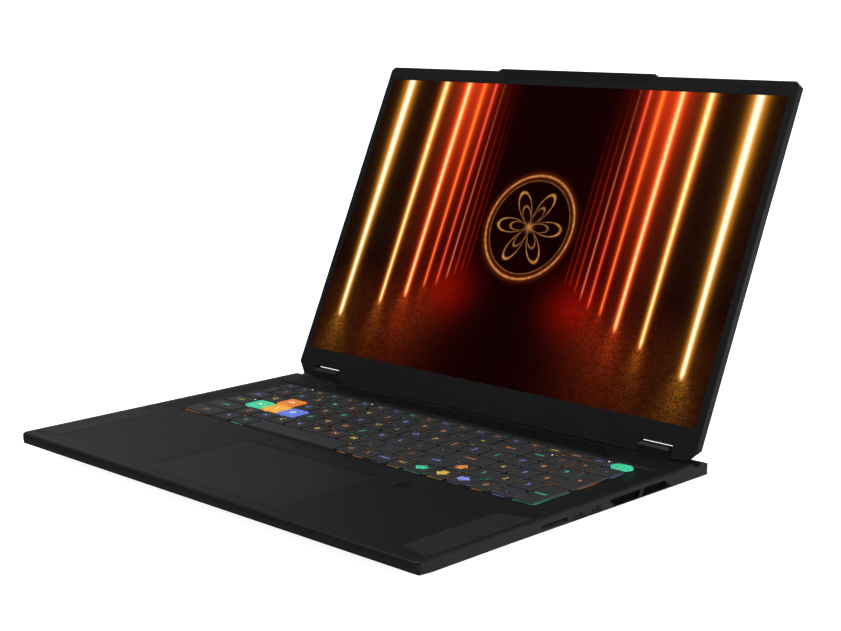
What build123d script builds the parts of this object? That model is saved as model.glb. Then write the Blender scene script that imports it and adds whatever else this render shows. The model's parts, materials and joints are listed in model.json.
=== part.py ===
from build123d import *
import math
import os

# An 18-inch gaming laptop, lid open. Millimetres, X to the right, Y to the back, Z up.
# The origin is the middle of the whole object's box, on the desk.
# Heights named *_z are above the desk; depths are below the deck, the base's flat top.

# ---- driving dimensions: whole machine -------------------------------------------------------
body_width = 399.7
base_depth = 289.6
deck_z = 18.2
floor_z = 2.0
wall = 1.8
front_corner = 2.6
rear_corner = 5.0
edge_chamfer = 1.0
edge_groove_top = 1.4
edge_groove_height = 0.4
edge_groove = 0.25

# ---- side shape of the base ------------------------------------------------------------------
part_front_depth = 8.2
part_rear_depth = 10.4
front_facet_depth = 4.3
front_facet_inset = 1.6
wing_start = 277.6
wing_drop = 4.0
wing_edge = 1.4
floor_side_inset = 14.0
floor_front_inset = 24.0
floor_rear_inset = 8.0
cover_wall = 1.5
floor_thickness = 1.2
palm_thickness = 1.5
deck_thickness = 2.8
rear_thickness = 4.6
palm_end = 114.0
rear_start = 262.0
lid_trough_radius = 6.2

# ---- lid ------------------------------------------------------------------------------------
open_angle = 114.84
hinge_y = 271.8
hinge_above_deck = 3.4
lid_front = 2.8
lid_back = -3.2
lid_top = 272.5
lid_bottom = -4.3
lid_corner = 3.0
lid_foot_corner_x = 9.4
lid_foot_corner_y = 10.1
lid_back_chamfer = 2.0
lid_skin = 1.0
lid_rim = 0.7
lid_wall = 1.5
bezel_thickness = 0.8
camera_lip_half = 77.0
camera_lip = 2.7
camera_lip_slope = 1.4

# ---- display ---------------------------------------------------------------------------------
active_width = 387.7
active_height = 242.3
active_bottom = 19.3
panel_border = 1.0
panel_driver_border = 8.0
panel_thickness = 2.9
surface_thickness = 0.2

# ---- hinges ----------------------------------------------------------------------------------
hinge_x = 166.0
hinge_cover_length = 27.2
hinge_cover_half = 4.0
hinge_cover_chamfer = 1.8
hinge_cover_wall = 1.4
hinge_cover_roof = 1.2
hinge_notch_gap = 0.6
hinge_notch_top = 5.3
shaft_radius = 1.5
shaft_length = 45.0
running_gap = 0.05
barrel_radius = 2.5
barrel_length = 23.6
hinge_leg_length = 20.0
hinge_leg_thickness = 2.4

# ---- keyboard --------------------------------------------------------------------------------
unit = 19.25
row_pitch = 19.45
key_gap = 2.9
cap_depth = 16.5
function_depth = 11.1
block_width = 352.6
first_row_y = 129.6
cap_top = 0.5
cap_height = 1.6
cap_corner = 1.3
cap_chamfer = 0.35
bright_gap = 1.2
bright_corner = 2.6
key_travel = 1.5
hole_clearance = 0.35
web_depth = 1.8
web_thickness = 0.8
frame_margin = 2.2
frame_fit = 0.1
bay_side_slope = 13.5
bay_front_slope = 10.0
bay_rear_slope = 1.2
bay_bend_depth = 1.25
bay_bend_part = 0.45

# ---- touchpad, sensor, speakers --------------------------------------------------------------
touchpad_x = 1.2
touchpad_y = 55.55
touchpad_width = 133.4
touchpad_depth = 88.5
touchpad_recess = 0.15
touchpad_thickness = 1.1
touchpad_gap = 0.35
sensor_x = 91.0
sensor_y = 97.0
sensor_size = 11.0
grille_inner_x = 173.0
grille_outer_x = 196.4
grille_front_inner_y = 15.2
grille_front_outer_y = 10.1
grille_back_inner_y = 96.5
grille_back_outer_y = 104.1
grille_thickness = 0.8

# ---- ports and vents -------------------------------------------------------------------------
port_depth = 6.2
vent_start = 175.0
vent_end = 234.0
vent_front_slant = 5.6
vent_rear_slant = 8.4
vent_bar_y = 209.0
vent_bar_half = 1.6
vent_bar_lean = 2.4
vent_top_depth = 3.8
vent_bottom_depth = 9.0
vent_rib_pitch = 2.1
vent_rib_slot = 0.8
fan_x = 153.0
fan_y = 209.0
fan_size = 66.0
fan_top_depth = 6.2
fan_height = 8.0
fan_plate = 0.8
rotor_radius = 26.5
rotor_chamber = 28.5
rotor_hub = 10.0
rotor_blades = 27

# ---- derived places --------------------------------------------------------------------------
tilt = math.radians(open_angle)
hinge_z = deck_z + hinge_above_deck
lid_reach = (lid_top + camera_lip - lid_back_chamfer) * -math.cos(tilt) - lid_back * math.sin(tilt)
front_y = -(hinge_y + lid_reach) / 2
half_width = body_width / 2
lid_normal = (0, -math.sin(tilt), -math.cos(tilt))
block_left = -block_width / 2
block_front = first_row_y - key_gap / 2
block_back = first_row_y + 5 * row_pitch + function_depth + key_gap / 2
block_middle = (block_front + block_back) / 2
block_depth = block_back - block_front
cavity_floor_z = floor_z + floor_thickness

os.makedirs("parts", exist_ok=True)


def desk(height):
    """A level plane at a height above the desk; its Y starts at the base's front edge."""
    return Plane((0, front_y, height))


def below(depth):
    """A level plane at a depth below the deck."""
    return desk(deck_z - depth)


def side(x):
    """An upright plane facing +X; its X runs to the back, its Y is the height above the deck."""
    return Plane((x, front_y, deck_z), x_dir=(0, 1, 0), z_dir=(1, 0, 0))


def rear(y):
    """An upright plane facing +Y at a distance from the front edge; its Y is up from the deck."""
    return Plane((0, front_y + y, deck_z), x_dir=(-1, 0, 0), z_dir=(0, 1, 0))


def lid_plane(forward):
    """A plane in the open lid, forward of the hinge axis; its Y runs up the lid from the axis."""
    axis_point = Vector(0, front_y + hinge_y, hinge_z)
    return Plane(axis_point + Vector(*lid_normal) * forward, x_dir=(1, 0, 0), z_dir=lid_normal)


def parting_plane():
    """The slightly tilted plane where the top case meets the bottom cover."""
    slope = math.atan2(part_rear_depth - part_front_depth, base_depth)
    normal = (0, math.sin(slope), math.cos(slope))
    return Plane((0, front_y, deck_z - part_front_depth), x_dir=(1, 0, 0), z_dir=normal)


def finish(builder, name):
    """Label a finished piece and write it."""
    builder.part.label = name
    export_step(builder.part, f"parts/{name}.step")
    print(name, len(builder.part.solids()), round(builder.part.volume / 1000, 1), "cm3")


def base_outline(side_inset=0.0, front_inset=0.0, rear_inset=0.0, mode=Mode.ADD):
    """The base seen from above, with cut corners."""
    x = half_width - side_inset
    front = front_inset
    back = base_depth - rear_inset
    Polygon(
        (-x + front_corner, front),
        (x - front_corner, front),
        (x, front + front_corner),
        (x, back - rear_corner),
        (x - rear_corner, back),
        (-x + rear_corner, back),
        (-x, back - rear_corner),
        (-x, front + front_corner),
        align=None,
        mode=mode,
    )


# ---- key layout ------------------------------------------------------------------------------
# Each row is a list of (group, width), left to right; widths are from gap to gap.
narrow = 11.3
tab_width = 21.6
caps_width = 25.9
shift_width = 35.6
space_width = 96.2
small_width = 17.0
main_width = 14 * unit + 6.3
pad_width = (block_width - main_width) / 4
function_width = main_width / 16


def main_row(left, count, group="letter_keys"):
    """A modifier, a run of standard keys, and a wide key that fills the row."""
    rest = main_width - left - count * unit
    return [("modifier_keys", left)] + [(group, unit)] * count + [("modifier_keys", rest)]


def letter_row(left, count, named):
    """A row of letters, in which some places hold keys of their own node."""
    row = main_row(left, count)
    for place, group in named.items():
        row[place] = (group, unit)
    return row


right_shift_width = main_width - shift_width - 11 * unit
arrow_start = shift_width + 10 * unit + right_shift_width - unit
bottom_smalls = (arrow_start - shift_width - 2 * unit - space_width) / 4
key_rows = [
    [("modifier_keys", shift_width)] + [("modifier_keys", unit)] * 2 + [("space_bar", space_width)]
    + [("modifier_keys", bottom_smalls)] * 4
    + [("arrow_left_key", unit), ("arrow_down_key", unit), ("arrow_right_key", pad_width)]
    + [("numpad_keys", pad_width)] * 2,
    [("modifier_keys", shift_width)] + [("letter_keys", unit)] * 10
    + [("modifier_keys", right_shift_width), ("arrow_up_key", unit)]
    + [("numpad_keys", pad_width)] * 3,
    letter_row(caps_width, 11, {1: "key_a", 2: "key_s", 3: "key_d"}) + [("numpad_keys", pad_width)] * 3,
    letter_row(tab_width, 12, {2: "key_w"}) + [("numpad_keys", pad_width)] * 3,
    main_row(narrow, 12, "number_keys") + [("numpad_keys", pad_width)] * 4,
]
bright_keys = ("key_w", "key_a", "key_s", "key_d")


def key_list():
    """Every key as (group, x, y, width, depth), from the layout rows."""
    keys = []
    for row, entries in enumerate(key_rows):
        x = block_left
        y = first_row_y + row * row_pitch + cap_depth / 2
        for group, width in entries:
            gap = bright_gap if group in bright_keys else key_gap
            depth = row_pitch - gap
            keys.append((group, x + width / 2, y, width - gap, depth))
            x += width
    tall_x = block_left + block_width - pad_width / 2
    for lower_row in (0, 2):
        y = first_row_y + lower_row * row_pitch + (row_pitch + cap_depth) / 2
        keys.append(("numpad_keys", tall_x, y, pad_width - key_gap, row_pitch + cap_depth))
    function_y = first_row_y + 5 * row_pitch + function_depth / 2
    for column in range(16):
        x = block_left + (column + 0.5) * function_width
        keys.append(("function_keys", x, function_y, function_width - key_gap, function_depth))
    for column in range(4):
        x = block_left + main_width + (column + 0.5) * pad_width
        group = "power_button" if column == 3 else "function_keys"
        keys.append((group, x, function_y, pad_width - key_gap, function_depth))
    return keys


def keys_of(name):
    """The keys of one group, as (x, y, width, depth)."""
    return [key[1:] for key in key_list() if key[0] == name]


def corner_of(group):
    """The corner radius of a group's caps."""
    if group == "power_button":
        return function_depth / 2 - 0.1
    return bright_corner if group in bright_keys else cap_corner


# ---- base: shells ----------------------------------------------------------------------------
screw_points = [(sign * 182, y) for sign in (-1, 1) for y in (170, 257)]
screw_points += [(sign * x, y) for sign in (-1, 1) for x, y in ((164, 31), (83, 31), (150, 119), (60, 272))]
boss_radius = 2.8
screw_radius = 1.05
screw_head_radius = 2.4
screw_head_height = 0.7
screw_length = 7.0


def side_profile():
    """The base's side outline above the parting line, with the front facet and the rear slope."""
    Polygon(
        (0, 0),
        (wing_start, 0),
        (base_depth - wing_edge, -wing_drop + 0.3),
        (base_depth, -wing_drop - 0.9),
        (base_depth, -part_rear_depth),
        (front_facet_inset, -part_front_depth),
        (0, -front_facet_depth),
        align=None,
    )


def grille_outline(sign, grow=0.0):
    """The slanted four-sided outline of a speaker grille."""
    inner = grille_inner_x - grow
    outer = grille_outer_x + grow
    Polygon(
        (sign * inner, grille_front_inner_y - grow),
        (sign * outer, grille_front_outer_y - grow),
        (sign * outer, grille_back_outer_y + grow),
        (sign * inner, grille_back_inner_y + grow),
        align=None,
    )


def vent_outline(top_start, top_end, bottom_start, bottom_end):
    """A side vent window with slanted ends, seen from the side."""
    Polygon(
        (top_start, -vent_top_depth),
        (top_end, -vent_top_depth),
        (bottom_end, -vent_bottom_depth),
        (bottom_start, -vent_bottom_depth),
        align=None,
    )


def vent_windows():
    """The two windows of a side vent, either side of a leaning bar."""
    bar_top = vent_bar_y + vent_bar_lean / 2
    bar_bottom = vent_bar_y - vent_bar_lean / 2
    front_foot = vent_start + vent_front_slant
    rear_foot = vent_end + vent_rear_slant
    vent_outline(vent_start, bar_top - vent_bar_half, front_foot, bar_bottom - vent_bar_half)
    vent_outline(bar_top + vent_bar_half, vent_end, bar_bottom + vent_bar_half, rear_foot)


right_ports = [  # (distance from the front, width, height, corner radius)
    (120.5, 25.0, 2.3, 0.3),
    (144.5, 9.2, 3.4, 1.6),
    (161.5, 9.2, 3.4, 1.6),
]
left_ports = [
    (104.0, 5.6, 5.6, 2.75),
    (122.5, 13.4, 5.3, 0.4),
    (142.5, 13.4, 5.3, 0.4),
    (161.5, 15.4, 5.3, 1.0),
    (250.0, 6.6, 6.6, 3.25),
]
recess_margin = 2.8
recess_depth = 0.9
exhaust_half_width = 46.0
exhaust_x = 136.0
exhaust_top_depth = 4.9
exhaust_bottom_depth = 9.5
vent_strip_half = 147.0
vent_strip_front = 243.5
vent_strip_back = 264.5
vent_rib_half_depth = (vent_strip_back - vent_strip_front) / 2 - 1.8
vent_rib_count = 130


def make_top_case():
    with BuildPart() as top_case:
        with BuildSketch(below(part_rear_depth + 1)):
            base_outline()
        extrude(amount=part_rear_depth + 1)
        chamfer(top_case.faces().sort_by(Axis.Z)[-1].edges(), edge_chamfer)
        with BuildSketch(side(0)):
            side_profile()
        extrude(amount=half_width + 1, both=True, mode=Mode.INTERSECT)

        # a fine groove under the edge, round the front and the sides
        with BuildSketch(below(edge_groove_top + edge_groove_height)):
            base_outline()
            base_outline(edge_groove, edge_groove, edge_groove, mode=Mode.SUBTRACT)
            with Locations((0, rear_start / 2)):
                Rectangle(body_width, rear_start, mode=Mode.INTERSECT)
        extrude(amount=edge_groove_height, mode=Mode.SUBTRACT)

        # hollow inside, with a plate that is thicker round the keyboard and at the hinges
        for start, end, thickness in (
            (wall, palm_end, palm_thickness),
            (palm_end, rear_start, deck_thickness),
            (rear_start, base_depth - wall, rear_thickness),
        ):
            with BuildSketch(below(part_rear_depth + 1)):
                base_outline(wall, wall, wall)
                with Locations((0, (start + end) / 2)):
                    Rectangle(body_width, end - start, mode=Mode.INTERSECT)
            extrude(amount=part_rear_depth + 1 - thickness, mode=Mode.SUBTRACT)

        # keyboard bay: a shallow basin with a bend in its slope
        frame_half = block_width / 2 + frame_margin
        frame_front = block_front - frame_margin / 2
        frame_back = block_back + frame_margin / 2
        for upper, lower in ((0.0, bay_bend_depth), (bay_bend_depth, web_depth + 0.4)):
            for depth in (upper, lower):
                level = min(depth, web_depth)
                spread = 1.0 if depth == 0.0 else bay_bend_part if depth == bay_bend_depth else 0.0
                front = frame_front - bay_front_slope * spread
                back = frame_back + bay_rear_slope * spread
                with BuildSketch(below(level)):
                    with Locations((0, (front + back) / 2)):
                        Rectangle(2 * frame_half + 2 * bay_side_slope * spread, back - front)
            loft(mode=Mode.SUBTRACT)
        with BuildSketch(below(deck_thickness + 1)):
            with Locations((0, (frame_front + frame_back) / 2)):
                Rectangle(2 * frame_half, frame_back - frame_front)
        extrude(amount=deck_thickness + 1, mode=Mode.SUBTRACT)

        # crease between the palm rest and the keyboard deck
        with BuildSketch(side(0)):
            Polygon((117.4, 0.1), (118.6, 0.1), (118.0, -0.35), align=None)
        extrude(amount=half_width + 1, both=True, mode=Mode.SUBTRACT)

        # windows for the touchpad, the fingerprint sensor, the speakers and the rear vent strip
        with BuildSketch(below(deck_thickness + 1)):
            with Locations((touchpad_x, touchpad_y)):
                Rectangle(touchpad_width + 2 * touchpad_gap, touchpad_depth + 2 * touchpad_gap)
            with Locations((sensor_x, sensor_y)):
                RectangleRounded(sensor_size + 0.2, sensor_size + 0.2, 1.0)
            for sign in (-1, 1):
                grille_outline(sign, grow=-1.2)
            with Locations((0, (vent_strip_front + vent_strip_back) / 2)):
                Rectangle(2 * vent_strip_half - 2, vent_strip_back - vent_strip_front - 2)
        extrude(amount=deck_thickness + 2, mode=Mode.SUBTRACT)
        with BuildSketch(below(grille_thickness + 0.1)):
            for sign in (-1, 1):
                grille_outline(sign, grow=0.05)
            with Locations((0, (vent_strip_front + vent_strip_back) / 2)):
                Rectangle(2 * vent_strip_half + 0.1, vent_strip_back - vent_strip_front + 0.1)
        extrude(amount=grille_thickness + 1, mode=Mode.SUBTRACT)

        # trough for the lid's foot, left solid under the hinge covers
        cover_half = hinge_cover_length / 2 + 0.2
        inner_half = hinge_x - cover_half
        outer_start = hinge_x + cover_half
        with BuildSketch(side(-inner_half)):
            with Locations((hinge_y, hinge_above_deck)):
                Circle(lid_trough_radius)
        extrude(amount=2 * inner_half, mode=Mode.SUBTRACT)
        for start in (outer_start, -half_width - 1):
            with BuildSketch(side(start)):
                with Locations((hinge_y, hinge_above_deck)):
                    Circle(lid_trough_radius)
            extrude(amount=half_width + 1 - outer_start, mode=Mode.SUBTRACT)
        with BuildSketch(below(rear_thickness + 1)):
            for sign in (-1, 1):
                with Locations((sign * hinge_x, hinge_y)):
                    Rectangle(hinge_leg_length + 0.4, hinge_leg_thickness + 0.4)
        extrude(amount=rear_thickness + 2, mode=Mode.SUBTRACT)

        # side windows: ports with sloped recesses, and vents with one slanted bar
        for sign, ports in ((1, right_ports), (-1, left_ports)):
            for y, width, height, corner in ports:
                with BuildSketch(side(sign * half_width)):
                    with Locations((y, -port_depth)):
                        RectangleRounded(width + 0.3, height + 0.3, corner)
                extrude(amount=-sign * (wall + 1), mode=Mode.SUBTRACT)
        for y, width, height, corner in right_ports[1:]:
            with BuildSketch(side(half_width)):
                with Locations((y, -port_depth)):
                    Rectangle(width + 2 * recess_margin, height + 1.4)
            with BuildSketch(side(half_width - recess_depth)):
                with Locations((y, -port_depth)):
                    Rectangle(width + 0.8, height + 0.5)
            loft(mode=Mode.SUBTRACT)
        for sign in (-1, 1):
            with BuildSketch(side(sign * (half_width - wall - 1))):
                vent_windows()
            extrude(amount=sign * (wall + 2), mode=Mode.SUBTRACT)

        # rear exhaust windows
        with BuildSketch(rear(base_depth - wall - 1)):
            for sign in (-1, 1):
                with Locations((sign * exhaust_x, -(exhaust_top_depth + exhaust_bottom_depth) / 2)):
                    Rectangle(2 * exhaust_half_width, exhaust_bottom_depth - exhaust_top_depth)
        extrude(amount=wall + 2, mode=Mode.SUBTRACT)

        # screw bosses that hang from the plate
        for x, y in screw_points:
            thickness = palm_thickness if y < palm_end else deck_thickness
            thickness = rear_thickness if y > rear_start else thickness
            with BuildSketch(desk(cavity_floor_z + 0.1)):
                with Locations((x, y)):
                    Circle(boss_radius)
                    Circle(screw_radius + running_gap, mode=Mode.SUBTRACT)
            extrude(amount=deck_z - thickness - cavity_floor_z - 0.1)
    finish(top_case, "top_case")


def make_bottom_cover():
    with BuildPart() as bottom_cover:
        with BuildSketch(parting_plane()):
            base_outline(front_inset=front_facet_inset)
        with BuildSketch(desk(floor_z)):
            base_outline(floor_side_inset, floor_front_inset, floor_rear_inset)
        loft()
        with BuildSketch(parting_plane()):
            base_outline(cover_wall, front_facet_inset + cover_wall, cover_wall)
        with BuildSketch(desk(floor_z + floor_thickness)):
            base_outline(floor_side_inset, floor_front_inset + 1.0, floor_rear_inset + 1.0)
        loft(mode=Mode.SUBTRACT)

        # intake slots under the fans and under the middle
        with BuildSketch(desk(floor_z)):
            for x, columns in ((-fan_x + 4, 15), (fan_x - 4, 15), (0, 40)):
                with Locations((x, fan_y + 4)):
                    with GridLocations(3.6, 17.0, columns, 3):
                        SlotOverall(14.0, 1.8, rotation=90)
        extrude(amount=floor_thickness, mode=Mode.SUBTRACT)

        # countersunk screw holes
        with BuildSketch(desk(floor_z)):
            with Locations(*screw_points):
                Circle(screw_radius + 0.15)
        extrude(amount=floor_thickness, mode=Mode.SUBTRACT)
        with BuildSketch(desk(floor_z)):
            with Locations(*screw_points):
                Circle(screw_head_radius + 0.1)
        extrude(amount=screw_head_height, mode=Mode.SUBTRACT)
    finish(bottom_cover, "bottom_cover")


def make_bottom_screws():
    with BuildPart() as bottom_screws:
        with BuildSketch(desk(floor_z + 0.05)):
            with Locations(*screw_points):
                Circle(screw_head_radius)
        extrude(amount=screw_head_height - 0.05)
        with BuildSketch(desk(floor_z + screw_head_height)):
            with Locations(*screw_points):
                Circle(screw_radius)
        extrude(amount=screw_length)
        with BuildSketch(desk(floor_z + 0.05)):
            for x, y in screw_points:
                with Locations((x, y)):
                    Rectangle(2.4, 0.5)
                    Rectangle(0.5, 2.4)
        extrude(amount=0.4, mode=Mode.SUBTRACT)
    finish(bottom_screws, "bottom_screws")


def make_rubber_feet():
    with BuildPart() as rubber_feet:
        with BuildSketch(desk(0)):
            with Locations((-118, 38), (118, 38)):
                SlotOverall(64, 8)
            with Locations((0, 258)):
                SlotOverall(290, 9)
        extrude(amount=floor_z)
        chamfer(rubber_feet.faces().sort_by(Axis.Z)[:3].edges(), 0.5)
    finish(rubber_feet, "rubber_feet")


# ---- base: deck pieces -----------------------------------------------------------------------
def make_keyboard_frame():
    frame_front = block_front - frame_margin / 2 + frame_fit
    frame_back = block_back + frame_margin / 2 - frame_fit
    frame_width = block_width + 2 * frame_margin - 2 * frame_fit
    with BuildPart() as keyboard_frame:
        with BuildSketch(below(web_depth + web_thickness)):
            with Locations((0, (frame_front + frame_back) / 2)):
                Rectangle(frame_width, frame_back - frame_front)
        extrude(amount=web_thickness)
        with BuildSketch(below(web_depth + web_thickness)):
            for group, x, y, width, depth in key_list():
                with Locations((x, y)):
                    hole_width = width + 2 * hole_clearance
                    RectangleRounded(hole_width, depth + 2 * hole_clearance, corner_of(group))
        extrude(amount=web_thickness, mode=Mode.SUBTRACT)
    finish(keyboard_frame, "keyboard_frame")


def keyboard_sheet(top_depth, thickness, margin=-0.1):
    """One flat layer under the keys."""
    with BuildSketch(below(top_depth + thickness)) as layer:
        with Locations((0, block_middle)):
            Rectangle(block_width + 2 * margin, block_depth + 2 * margin)
    extrude(layer.sketch, amount=thickness)


membrane_depth = 4.3
membrane_thickness = 0.3
guide_thickness = 0.5
backplate_thickness = 0.5


def make_keyboard_layers():
    with BuildPart() as keyboard_membrane:
        keyboard_sheet(membrane_depth, membrane_thickness)
        with BuildSketch(below(membrane_depth)):
            for group, x, y, width, depth in key_list():
                with Locations((x, y)):
                    Circle(2.4)
        extrude(amount=0.5, taper=20)
    finish(keyboard_membrane, "keyboard_membrane")

    with BuildPart() as keyboard_light_guide:
        keyboard_sheet(membrane_depth + membrane_thickness, guide_thickness)
    finish(keyboard_light_guide, "keyboard_light_guide")

    with BuildPart() as keyboard_backplate:
        plate_depth = membrane_depth + membrane_thickness + guide_thickness
        keyboard_sheet(plate_depth, backplate_thickness, 0.9)
        rim_height = plate_depth - web_depth - web_thickness
        with BuildSketch(below(plate_depth)):
            with Locations((0, block_middle)):
                Rectangle(block_width + 1.8, block_depth + 1.8)
                Rectangle(block_width, block_depth, mode=Mode.SUBTRACT)
        extrude(amount=rim_height)
    finish(keyboard_backplate, "keyboard_backplate")


def make_keys():
    """One node for each key that stands alone, and one for each group of like keys."""
    groups = []
    for key in key_list():
        if key[0] not in groups:
            groups.append(key[0])
    for name in groups:
        with BuildPart() as caps:
            with BuildSketch(below(cap_top + cap_height)):
                for x, y, width, depth in keys_of(name):
                    with Locations((x, y)):
                        RectangleRounded(width, depth, corner_of(name))
            extrude(amount=cap_height)
            chamfer(caps.faces().group_by(Axis.Z)[-1].edges(), cap_chamfer)
            with BuildSketch(below(cap_top + cap_height + 0.4)):
                for x, y, width, depth in keys_of(name):
                    with Locations((x, y)):
                        with GridLocations(width * 0.5, depth * 0.4, 2, 2):
                            Rectangle(1.4, 1.0)
            extrude(amount=0.4)
        finish(caps, name)


def make_touchpad():
    with BuildPart() as touchpad:
        with BuildSketch(below(touchpad_recess + touchpad_thickness)):
            with Locations((touchpad_x, touchpad_y)):
                RectangleRounded(touchpad_width, touchpad_depth, 0.8)
        extrude(amount=touchpad_thickness)
        chamfer(touchpad.faces().sort_by(Axis.Z)[-1].edges(), 0.25)
    finish(touchpad, "touchpad")

    bracket_depth = palm_thickness + 1.6
    with BuildPart() as touchpad_bracket:
        with BuildSketch(below(bracket_depth)):
            with Locations((touchpad_x, touchpad_y)):
                Rectangle(touchpad_width + 12, touchpad_depth + 10)
        extrude(amount=bracket_depth - palm_thickness)
        with BuildSketch(below(bracket_depth - 0.6)):
            with Locations((touchpad_x, touchpad_y)):
                Rectangle(touchpad_width + 3, touchpad_depth + 3)
        extrude(amount=bracket_depth - palm_thickness - 0.6, mode=Mode.SUBTRACT)
    finish(touchpad_bracket, "touchpad_bracket")


def make_sensor():
    with BuildPart() as fingerprint_sensor:
        with BuildSketch(below(2.4)):
            with Locations((sensor_x, sensor_y)):
                RectangleRounded(sensor_size, sensor_size, 0.9)
        extrude(amount=2.15)
        chamfer(fingerprint_sensor.faces().sort_by(Axis.Z)[-1].edges(), 0.2)
        with BuildSketch(below(palm_thickness + 0.9)):
            with Locations((sensor_x, sensor_y)):
                Rectangle(sensor_size + 4, sensor_size + 4)
        extrude(amount=0.9)
    finish(fingerprint_sensor, "fingerprint_sensor")


def make_speakers():
    with BuildPart() as speaker_grilles:
        with BuildSketch(below(grille_thickness + 0.1)):
            for sign in (-1, 1):
                grille_outline(sign)
        extrude(amount=grille_thickness)
    finish(speaker_grilles, "speaker_grilles")

    with BuildPart() as speaker_modules:
        for sign in (-1, 1):
            with BuildSketch(desk(cavity_floor_z + 0.6)):
                with Locations((sign * 158, 72)):
                    RectangleRounded(38, 66, 4)
            extrude(amount=deck_z - cavity_floor_z - 0.6 - 4.2)
            with BuildSketch(below(4.2)):
                with Locations((sign * 170, 70)):
                    Rectangle(8, 54)
            extrude(amount=2.0)
        fillet(speaker_modules.faces().sort_by(Axis.Z)[:2].edges(), 0.8)
    finish(speaker_modules, "speaker_modules")


def make_vent_strip():
    """The ribbed strip between the hinges that air passes through."""
    with BuildPart() as rear_vent_grille:
        with BuildSketch(below(grille_thickness + 0.1)):
            with Locations((0, (vent_strip_front + vent_strip_back) / 2)):
                Rectangle(2 * vent_strip_half, vent_strip_back - vent_strip_front)
        extrude(amount=grille_thickness)
        with BuildSketch(below(grille_thickness + 0.1)):
            with Locations((0, (vent_strip_front + vent_strip_back) / 2)):
                with GridLocations(vent_rib_pitch, 1, vent_rib_count, 1):
                    Polygon(
                        (-vent_rib_half_depth - vent_rib_slot / 2, vent_rib_half_depth),
                        (-vent_rib_half_depth + vent_rib_slot / 2, vent_rib_half_depth),
                        (vent_rib_half_depth + vent_rib_slot / 2, -vent_rib_half_depth),
                        (vent_rib_half_depth - vent_rib_slot / 2, -vent_rib_half_depth),
                        align=None,
                    )
        extrude(amount=grille_thickness, mode=Mode.SUBTRACT)
    finish(rear_vent_grille, "rear_vent_grille")

    with BuildPart() as rear_exhaust_grille:
        height = exhaust_bottom_depth - exhaust_top_depth
        middle = -(exhaust_top_depth + exhaust_bottom_depth) / 2
        with BuildSketch(rear(base_depth - wall)):
            for sign in (-1, 1):
                with Locations((sign * exhaust_x, middle)):
                    Rectangle(2 * exhaust_half_width - 0.2, height - 0.2)
                    with GridLocations(6.0, 1, 15, 1):
                        Rectangle(4.8, height - 1.4, mode=Mode.SUBTRACT)
        extrude(amount=wall - 0.4)
    finish(rear_exhaust_grille, "rear_exhaust_grille")


# ---- base: hinges ----------------------------------------------------------------------------
def make_base_hinges():
    cover_top = hinge_above_deck + hinge_cover_half
    with BuildPart() as hinge_covers:
        for sign in (-1, 1):
            start = sign * hinge_x - hinge_cover_length / 2
            with BuildSketch(side(start)):
                with Locations((hinge_y, cover_top / 2)):
                    Rectangle(2 * hinge_cover_half, cover_top)
            extrude(amount=hinge_cover_length)
        upper = hinge_covers.faces().group_by(Axis.Z)[-1].edges()
        chamfer(upper, hinge_cover_chamfer)
        for sign in (-1, 1):
            with BuildSketch(below(0)):
                with Locations((sign * hinge_x, hinge_y)):
                    pocket_half = hinge_cover_half - hinge_cover_wall
                    Rectangle(hinge_cover_length - 2 * hinge_cover_wall, 2 * pocket_half)
            extrude(amount=cover_top - hinge_cover_roof, mode=Mode.SUBTRACT)
            with BuildSketch(side(sign * hinge_x - hinge_cover_length / 2)):
                with Locations((hinge_y, hinge_above_deck)):
                    Circle(shaft_radius + 0.3)
            extrude(amount=hinge_cover_length, mode=Mode.SUBTRACT)
    finish(hinge_covers, "hinge_covers")

    with BuildPart() as hinge_brackets:
        for sign in (-1, 1):
            with BuildSketch(side(sign * hinge_x - barrel_length / 2)):
                with Locations((hinge_y, hinge_above_deck)):
                    Circle(barrel_radius)
            extrude(amount=barrel_length)
            with BuildSketch(below(rear_thickness)):
                with Locations((sign * hinge_x, hinge_y)):
                    Rectangle(hinge_leg_length, hinge_leg_thickness)
            extrude(amount=rear_thickness + hinge_above_deck)
            with BuildSketch(below(rear_thickness + 0.6)):
                with Locations((sign * hinge_x, hinge_y - 4)):
                    Rectangle(hinge_leg_length, 14)
            extrude(amount=0.6)
            with BuildSketch(side(sign * hinge_x - hinge_cover_length)):
                with Locations((hinge_y, hinge_above_deck)):
                    Circle(shaft_radius + running_gap)
            extrude(amount=2 * hinge_cover_length, mode=Mode.SUBTRACT)
    finish(hinge_brackets, "hinge_brackets")


# ---- base: ports -----------------------------------------------------------------------------
def port_shell(x_face, y, width, height, corner, length, skin, tongue_height, tongue_share=0.76):
    """A hollow socket with a tongue; length is signed, inwards from its mouth."""
    with BuildSketch(side(x_face)) as shell:
        with Locations((y, -port_depth)):
            RectangleRounded(width, height, corner)
    extrude(shell.sketch, amount=length)
    with BuildSketch(side(x_face)) as socket:
        with Locations((y, -port_depth)):
            RectangleRounded(width - 2 * skin, height - 2 * skin, max(corner - skin, 0.1))
    extrude(socket.sketch, amount=length * 0.9, mode=Mode.SUBTRACT)
    if tongue_height > 0:
        with BuildSketch(side(x_face + length * 0.08)) as tongue:
            with Locations((y, -port_depth)):
                Rectangle(width * tongue_share, tongue_height)
        extrude(tongue.sketch, amount=length * 0.9)


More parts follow.
